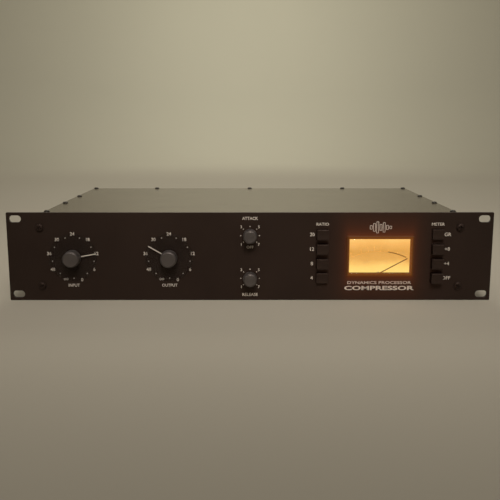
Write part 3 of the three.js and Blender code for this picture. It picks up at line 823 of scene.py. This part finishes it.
def meter_face():
    low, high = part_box("meter_dial")
    card = front_outline("meter_dial", 0.4 * MM)
    bm = sheet([card, circle(1.2 * MM, *PIVOT)], low.y, high.y, bevel=0.1 * MM)
    piece("meter_dial_card", bm, AMBER_CARD, node="meter_dial")

    centre = (PIVOT[0], PIVOT[1] - 42 * MM)
    radius = 64.1 * MM

    def arc(start, end, width):
        steps = 40
        points = [around(centre, radius, start + (end - start) * i / steps) for i in range(steps + 1)]
        return ribbon(points, width, low.y, PRINT)

    piece("meter_overload_band", arc(8.2, 25.6, 0.95 * MM), SCALE_INK)
    ticks = [arc(-24.5, 8.2, 0.3 * MM)]
    for degrees, label in ((-24.5, "20"), (-15.5, "10"), (-9.5, "7"), (-4, "5"), (1.6, "3"), (8.2, "0"),
                           (16.8, "2"), (24.6, "3")):
        ends = [around(centre, radius, degrees), around(centre, radius + 2.2 * MM, degrees)]
        ticks.append(ribbon(ends, 0.3 * MM, low.y, PRINT))
        if degrees < 8:
            x, z = around(centre, radius + 4.2 * MM, degrees)
            ticks.append(lettering(label, 2.0 * MM, x, z, y=low.y, bold=0))
    piece("meter_dial_scale", joined(*ticks), FAINT_INK)


def needle():
    """A flat tapered blade on a small hub, drawn upright and then leaned to its rest."""
    low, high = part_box("meter_needle")
    lean = radians(61.5)
    front = low.y + 0.6 * MM
    near, far = front + 0.1 * MM, front + 0.45 * MM
    tail, tip = -2.4 * MM, 32.3 * MM
    blade = bmesh.new()
    corners = [(-0.5 * MM, tail), (0.5 * MM, tail), (0.42 * MM, tip), (-0.42 * MM, tip)]
    rows = [[blade.verts.new((u, y, v)) for u, v in corners] for y in (near, far)]
    blade.faces.new(rows[0])
    blade.faces.new(rows[1])
    for index in range(4):
        after = (index + 1) % 4
        blade.faces.new((rows[0][index], rows[0][after], rows[1][after], rows[1][index]))
    hub_radius, staff_radius = 1.0 * MM, 0.65 * MM
    profile = [(0, low.y), (hub_radius, low.y), (hub_radius, front + 1.1 * MM),
               (staff_radius, front + 1.2 * MM), (staff_radius, high.y), (0, high.y)]
    hub = turned(softened(profile, 0.2 * MM), segments=28)
    bm = placed(joined(blade, hub), (PIVOT[0], 0, PIVOT[1]), lean)
    piece("meter_needle_pointer", bm, NEEDLE_BLACK, body="meter_needle", node="meter_needle")


# ---- case


def covers():
    for node in ("top_cover", "bottom_cover"):
        low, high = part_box(node)
        outline = rounded_rectangle(high.x - low.x, high.y - low.y, 0.8 * MM, 0, (low.y + high.y) / 2)
        bm = sheet([outline], low.z, high.z, bevel=0.3 * MM, facing=FACING_UP)
        piece(f"{node}_sheet", bm, CASE_PAINT, node=node)


def side_plates():
    """Folded plates: a wall with a flange along each of its four edges."""
    for node in ("left_side_plate", "right_side_plate"):
        low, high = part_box(node)
        side = -1 if low.x < 0 else 1
        inner, outer = sorted((abs(low.x), abs(high.x)))
        thick, fold = 1.5 * MM, 1.0 * MM
        back = high.y - thick
        parts = []
        for start, end, y, z in (
                (outer - thick, outer, (low.y, high.y), (low.z, high.z)),
                (inner, outer - fold, (low.y, back), (high.z - thick, high.z)),
                (inner, outer - fold, (low.y, back), (low.z, low.z + thick)),
                (inner, outer - fold, (low.y, low.y + thick), (low.z, high.z)),
                (inner, outer - fold, (high.y - 2 * thick, back), (low.z, high.z))):
            xs = sorted((side * start, side * end))
            parts.append(box((xs[0], y[0], z[0]), (xs[1], y[1], z[1]), 0.45 * MM))
        piece(f"{node}_folded", joined(*parts), CASE_PAINT, node=node)


def case_screws():
    edge, rear_row = cover_high.x - 4 * MM, cover_high.y - 5 * MM
    spots = [(x, rear_row) for x in (-edge, -126 * MM, 0, 126 * MM, edge)]
    for side in (-1, 1):
        spots += [(side * edge, cover_low.y + back * MM) for back in (26, 103, 174)]
    for name, z, height, facing in (("top_cover_screws", cover_high.z, 1.8 * MM, TO_TOP),
                                    ("bottom_cover_screws", 0.0, 1.1 * MM, TO_BOTTOM)):
        heads = [placed(screw_head(2.9 * MM, height), (x, y, z), 0.7 * index, facing)
                 for index, (x, y) in enumerate(spots)]
        piece(name, joined(*heads), SCREW_BLACK)


# ---- rear


def rear_panel():
    low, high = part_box("rear_panel")
    outlines = [front_outline("rear_panel", 0.6 * MM)]
    gap = 0.25 * MM
    for node in ("input_connector_shell", "output_connector_shell"):
        outlines.append(circle(11.8 * MM + gap, *middle(node)))
    outlines.append(rounded_rectangle(28.2 * MM, 20.2 * MM, 1 * MM, *middle("mains_inlet_shell")))
    outlines.append(circle(6 * MM + gap, *middle("fuse_holder")))
    back = REAR - 1.5 * MM
    parts = [sheet(outlines, back, REAR, bevel=0.2 * MM)]
    inset = (high.x - low.x) / 2 - 14 * MM
    for z in ((high.z - 1.5 * MM, high.z), (low.z, low.z + 1.5 * MM)):
        parts.append(box((-inset, low.y, z[0]), (inset, REAR - 0.4 * MM, z[1]), 0.4 * MM))
    piece("rear_panel_sheet", joined(*parts), CASE_PAINT, node="rear_panel")

    corners = [(side * 204 * MM, PANEL_MIDDLE + row * MM) for side in (-1, 1) for row in (-31, 31)]
    spots = [(x, 0, z, 2.9, 1.7, 0.5 + index) for index, (x, z) in enumerate(corners)]
    for node, across, down, proud, radius, height in (("input_connector_shell", 9.7, 12.2, 2, 2.4, 1.2),
                                                      ("output_connector_shell", 9.7, 12.2, 2, 2.4, 1.2),
                                                      ("mains_inlet_shell", 20, 0, 2.5, 2.7, 1.4)):
        x, z = middle(node)
        for side in (-1, 1):
            spots.append((x + side * across * MM, proud, z - side * down * MM, radius, height, side))
    heads = [placed(screw_head(radius * MM, height * MM), (x, REAR + proud * MM, z), turn, TO_REAR)
             for x, proud, z, radius, height, turn in spots]
    piece("rear_panel_screws", joined(*heads), SCREW_BLACK)


def audio_connectors():
    for name, pins in (("input", False), ("output", True)):
        shell = f"{name}_connector_shell"
        x, z = middle(shell)
        low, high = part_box(shell)
        face, bore, barrel = high.y, 9.5 * MM, 11.8 * MM
        bottom = low.y + 3 * MM
        plate = sheet([front_outline(shell, 3 * MM), circle(bore, x, z, 64)], REAR, face, bevel=0.35 * MM)
        cup = turned(softened([(0, bottom), (bore, bottom), (bore, face), (barrel, face - 0.1 * MM),
                               (barrel, low.y), (0, low.y)], 0.3 * MM), x, z)
        parts = [plate, cup]
        if not pins:
            parts.append(box((x - 3.2 * MM, face - 0.2 * MM, z + bore + 0.6 * MM),
                             (x + 3.2 * MM, face + 1.6 * MM, z + bore + 4.2 * MM), 0.5 * MM))
        piece(f"{name}_connector_body", joined(*parts), NICKEL if pins else MOULDED_BLACK,
              node=shell)

        contacts = [(x - 3.6 * MM, z + 2.4 * MM), (x + 3.6 * MM, z + 2.4 * MM), (x, z - 3.9 * MM)]
        insert = f"{name}_connector_insert"
        floor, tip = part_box(insert)[0].y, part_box(insert)[1].y
        foot = floor + 1 * MM
        block_radius, block_top = bore - 0.3 * MM, floor + 3 * MM
        section = [(0, floor), (block_radius, floor), (block_radius, block_top), (0, block_top)]
        block = turned(softened(section, 0.2 * MM), x, z)
        if pins:
            piece("output_connector_block", block, MOULDED_BLACK)
            section = [(0, foot), (1.15 * MM, foot), (1.15 * MM, tip - 0.8 * MM), (0.5 * MM, tip), (0, tip)]
            rods = [turned(softened(section, 0.3 * MM), *contact, 24) for contact in contacts]
            piece("output_connector_pins", joined(*rods), NICKEL, node=insert)
        else:
            core = turned(softened([(0, foot), (7 * MM, foot), (7 * MM, tip), (0, tip)], 0.5 * MM), x, z)
            drills = [rod(1.5 * MM, tip - 9 * MM, tip + 2 * MM, *contact, 24) for contact in contacts]
            core = joined(block, carved(core, *drills))
            piece("input_connector_core", core, MOULDED_BLACK, node=insert)


def mains_inlet():
    low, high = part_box("mains_inlet_shell")
    x, z = middle("mains_inlet_shell")
    face = high.y

    def shape(width, height, corner):
        """A rectangle whose two upper corners are cut off."""
        w, h = width / 2, height / 2
        points = [(-w, -h), (w, -h), (w, h - corner), (w - corner, h), (corner - w, h), (-w, h - corner)]
        return [(x + u, z + v) for u, v in points]

    cup = shape(24.5 * MM, 16.5 * MM, 4.2 * MM)
    flange = sheet([front_outline("mains_inlet_shell", 4 * MM), cup], REAR, face, 0.4 * MM)
    rim = shape(27.7 * MM, 19.7 * MM, 4.6 * MM)
    walls = sheet([rim, cup], low.y, face - 0.5 * MM, 0.1 * MM)
    back = sheet([rim], low.y, low.y + 3 * MM, 0.1 * MM)
    piece("mains_inlet_body", joined(flange, walls, back), MOULDED_BLACK, node="mains_inlet_shell")
    insert_low, insert_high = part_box("mains_inlet_insert")
    blades = [box((x + u * MM - 1 * MM, insert_low.y, z + v * MM - 2 * MM),
                  (x + u * MM + 1 * MM, insert_high.y, z + v * MM + 2 * MM), 0.4 * MM)
              for u, v in ((-7, -1.5), (7, -1.5), (0, 2.5))]
    piece("mains_inlet_blades", joined(*blades), NICKEL, node="mains_inlet_insert")


def fuse_holder():
    low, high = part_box("fuse_holder")
    x, z = middle("fuse_holder")
    cap_front = REAR + 2 * MM
    profile = [(0, low.y), (6 * MM, low.y), (6 * MM, REAR), (8 * MM, REAR), (8 * MM, cap_front),
               (6.6 * MM, cap_front), (6.6 * MM, high.y - 1 * MM), (5.6 * MM, high.y), (0, high.y)]
    body = turned(softened(profile, 0.3 * MM), x, z)
    half, reach = 0.6 * MM, 7 * MM
    cutters = [box((x - half, high.y - 1.2 * MM, z - reach), (x + half, high.y + 1 * MM, z + reach), 0)]
    for step in range(18):
        place = around((x, z), 6.85 * MM, 10 + 20 * step)
        cutters.append(rod(0.55 * MM, cap_front + 1.2 * MM, high.y + 1 * MM, *place, segments=10))
    piece("fuse_holder_cap", carved(body, *cutters), MOULDED_BLACK, node="fuse_holder")


def terminal_strip():
    low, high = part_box("terminal_strip")
    x, z = middle("terminal_strip")
    count, pitch = 8, 8 * MM
    base_face = low.y + 6 * MM
    parts = [box(low, (high.x, base_face, high.z), 0.5 * MM)]
    for index in range(count + 1):
        bar_x = x + (index - count / 2) * pitch
        parts.append(box((bar_x - 0.8 * MM, low.y + 1 * MM, low.z + 1 * MM),
                         (bar_x + 0.8 * MM, high.y, high.z - 1 * MM), 0.35 * MM))
    piece("terminal_strip_block", joined(*parts), MOULDED_BLACK, node="terminal_strip")
    lugs = []
    numbers = []
    for index in range(count):
        lug_x = x + (index - (count - 1) / 2) * pitch
        lugs.append(box((lug_x - 2.9 * MM, base_face - 0.3 * MM, z - 8 * MM),
                        (lug_x + 2.9 * MM, base_face + 0.5 * MM, z + 8 * MM), 0.2 * MM))
        for side in (-1, 1):
            head = screw_head(2.3 * MM, 1.5 * MM, drive="slot")
            place = (lug_x, base_face + 0.5 * MM, z + side * 4.6 * MM)
            lugs.append(placed(head, place, index * 0.9 + side, TO_REAR))
        number = lettering(str(count - index), 2.6 * MM, lug_x, low.z - 3.4 * MM, REAR, facing=FACING_REAR)
        numbers.append(number)
    piece("terminal_strip_screws", joined(*lugs), NICKEL)
    return numbers


def rear_markings(numbers):
    parts = list(numbers)
    for node, text, width, drop in (("output_connector_shell", "OUTPUT", 13 * MM, 19.5 * MM),
                                    ("input_connector_shell", "INPUT", 10 * MM, 19.5 * MM),
                                    ("fuse_holder", "FUSE", 8 * MM, 12 * MM)):
        x, z = middle(node)
        parts.append(lettering(text, 2.8 * MM, x, z - drop, REAR, width, facing=FACING_REAR))
    piece("rear_markings", joined(*parts), REAR_INK)


# ---- nodes that keep their CAD shape


def kept_nodes():
    """Pieces inside the box, or nearly hidden, whose CAD shape is right as it is."""
    groups = {
        MOULDED_BLACK: ["meter_housing"],
        ZINC: ["input_attenuator", "output_potentiometer", "attack_potentiometer", "release_potentiometer",
               "ratio_switch_bank", "meter_switch_bank", "board_bracket_left", "board_bracket_right",
               "power_transformer", "meter_movement"],
        NICKEL: [f"{control}_{part}" for part in ("bushing_nut", "shaft")
                 for control in ("input", "output", "attack", "release")],
        ALUMINIUM: ["filter_capacitor", "input_transformer", "output_transformer"],
        BOARD_GREEN: ["main_board"],
        AMBER_WALLS: ["meter_lamp"],
    }
    for material, nodes in groups.items():
        for node in nodes:
            obj = frame["nodes"][node]
            obj.data.materials.clear()
            obj.data.materials.append(material)
            bevel = obj.modifiers.new("soft edges", "BEVEL")
            bevel.width = 0.2 * MM
            bevel.segments = 2
            bevel.limit_method = "ANGLE"
            bevel.angle_limit = radians(40)


# ---- stage, light and camera


def backdrop():
    """A pale floor that curves up into a plain wall all round."""
    flat, bend, rim = 2.2, 1.0, 1.7
    profile = [(0.001, 0.0), (0.6, 0.0), (1.4, 0.0), (flat, 0.0)]
    for step in range(1, 13):
        angle = step / 12 * pi / 2
        profile.append((flat + bend * sin(angle), bend * (1 - cos(angle))))
    profile.append((flat + bend, rim))
    bm = turned([(radius, -height) for radius, height in profile], segments=128)
    moved(bm, Matrix.Translation((0, 0, panel_low.z)) @ Matrix.Rotation(-pi / 2, 4, "X"))
    shader = Shader("pale_backdrop")
    shade = shader.mix(shader.noise(1.4), (0.47, 0.43, 0.36), (0.50, 0.46, 0.385))
    material = shader.set(Base_Color=shade, Roughness=0.9, Specular_IOR_Level=0.05)
    floor = finished("backdrop", bm, material)


def ambient():
    scene.world = bpy.data.worlds.new("studio")
    scene.world.use_nodes = True
    background = scene.world.node_tree.nodes["Background"]
    background.inputs["Color"].default_value = (0.50, 0.47, 0.41, 1)
    background.inputs["Strength"].default_value = 0.6


def area_light(name, place, target, size, power, colour, spread=180):
    """A softbox that shines at a target, narrowed by a grid if the spread is less than 180 degrees."""
    data = bpy.data.lights.new(name, "AREA")
    data.shape = "RECTANGLE"
    data.size, data.size_y = size
    data.energy = power
    data.color = colour
    data.spread = radians(spread)
    light = placed_in_scene(name, data)
    light.location = place
    light.rotation_euler = (Vector(target) - Vector(place)).to_track_quat("-Z", "Y").to_euler()
    light.visible_camera = False


def lights():
    area_light("wall_wash", (0, 2.0, 1.2), (0, 3.04, 0.6), (0.5, 0.4), 11.5, (0.98, 1, 0.85))
    area_light("rear_softbox", (0, 1.5, 1.2), (0, 0.7, 0), (0.9, 0.6), 6.5, (1, 0.97, 0.84))
    area_light("key_softbox", (0.12, -1.2, 1.3), (0.02, 0.1, 0.1), (0.7, 0.5), 1.4, (1, 0.94, 0.86), 38)


def camera():
    data = bpy.data.cameras.new("camera")
    data.sensor_width = 36
    data.lens = 52.6
    data.clip_start = 0.01
    obj = placed_in_scene("camera", data)
    distance, rise, tilt, yaw = 716 * MM, 136.6 * MM, 10.27, -0.1
    obj.location = (-1.3 * MM, FACE - distance, PANEL_MIDDLE + rise)
    obj.rotation_euler = (radians(90 - tilt), 0, radians(yaw))
    scene.camera = obj


front_panel()
panel_screws()
panel_markings()
knobs()
for button_node in RATIO_BUTTONS + METER_BUTTONS:
    button(button_node)
meter_case()
meter_face()
needle()
covers()
side_plates()
case_screws()
rear_panel()
audio_connectors()
mains_inlet()
fuse_holder()
rear_markings(terminal_strip())
kept_nodes()
backdrop()
ambient()
lights()
camera()
scene.view_settings.view_transform = "Standard"
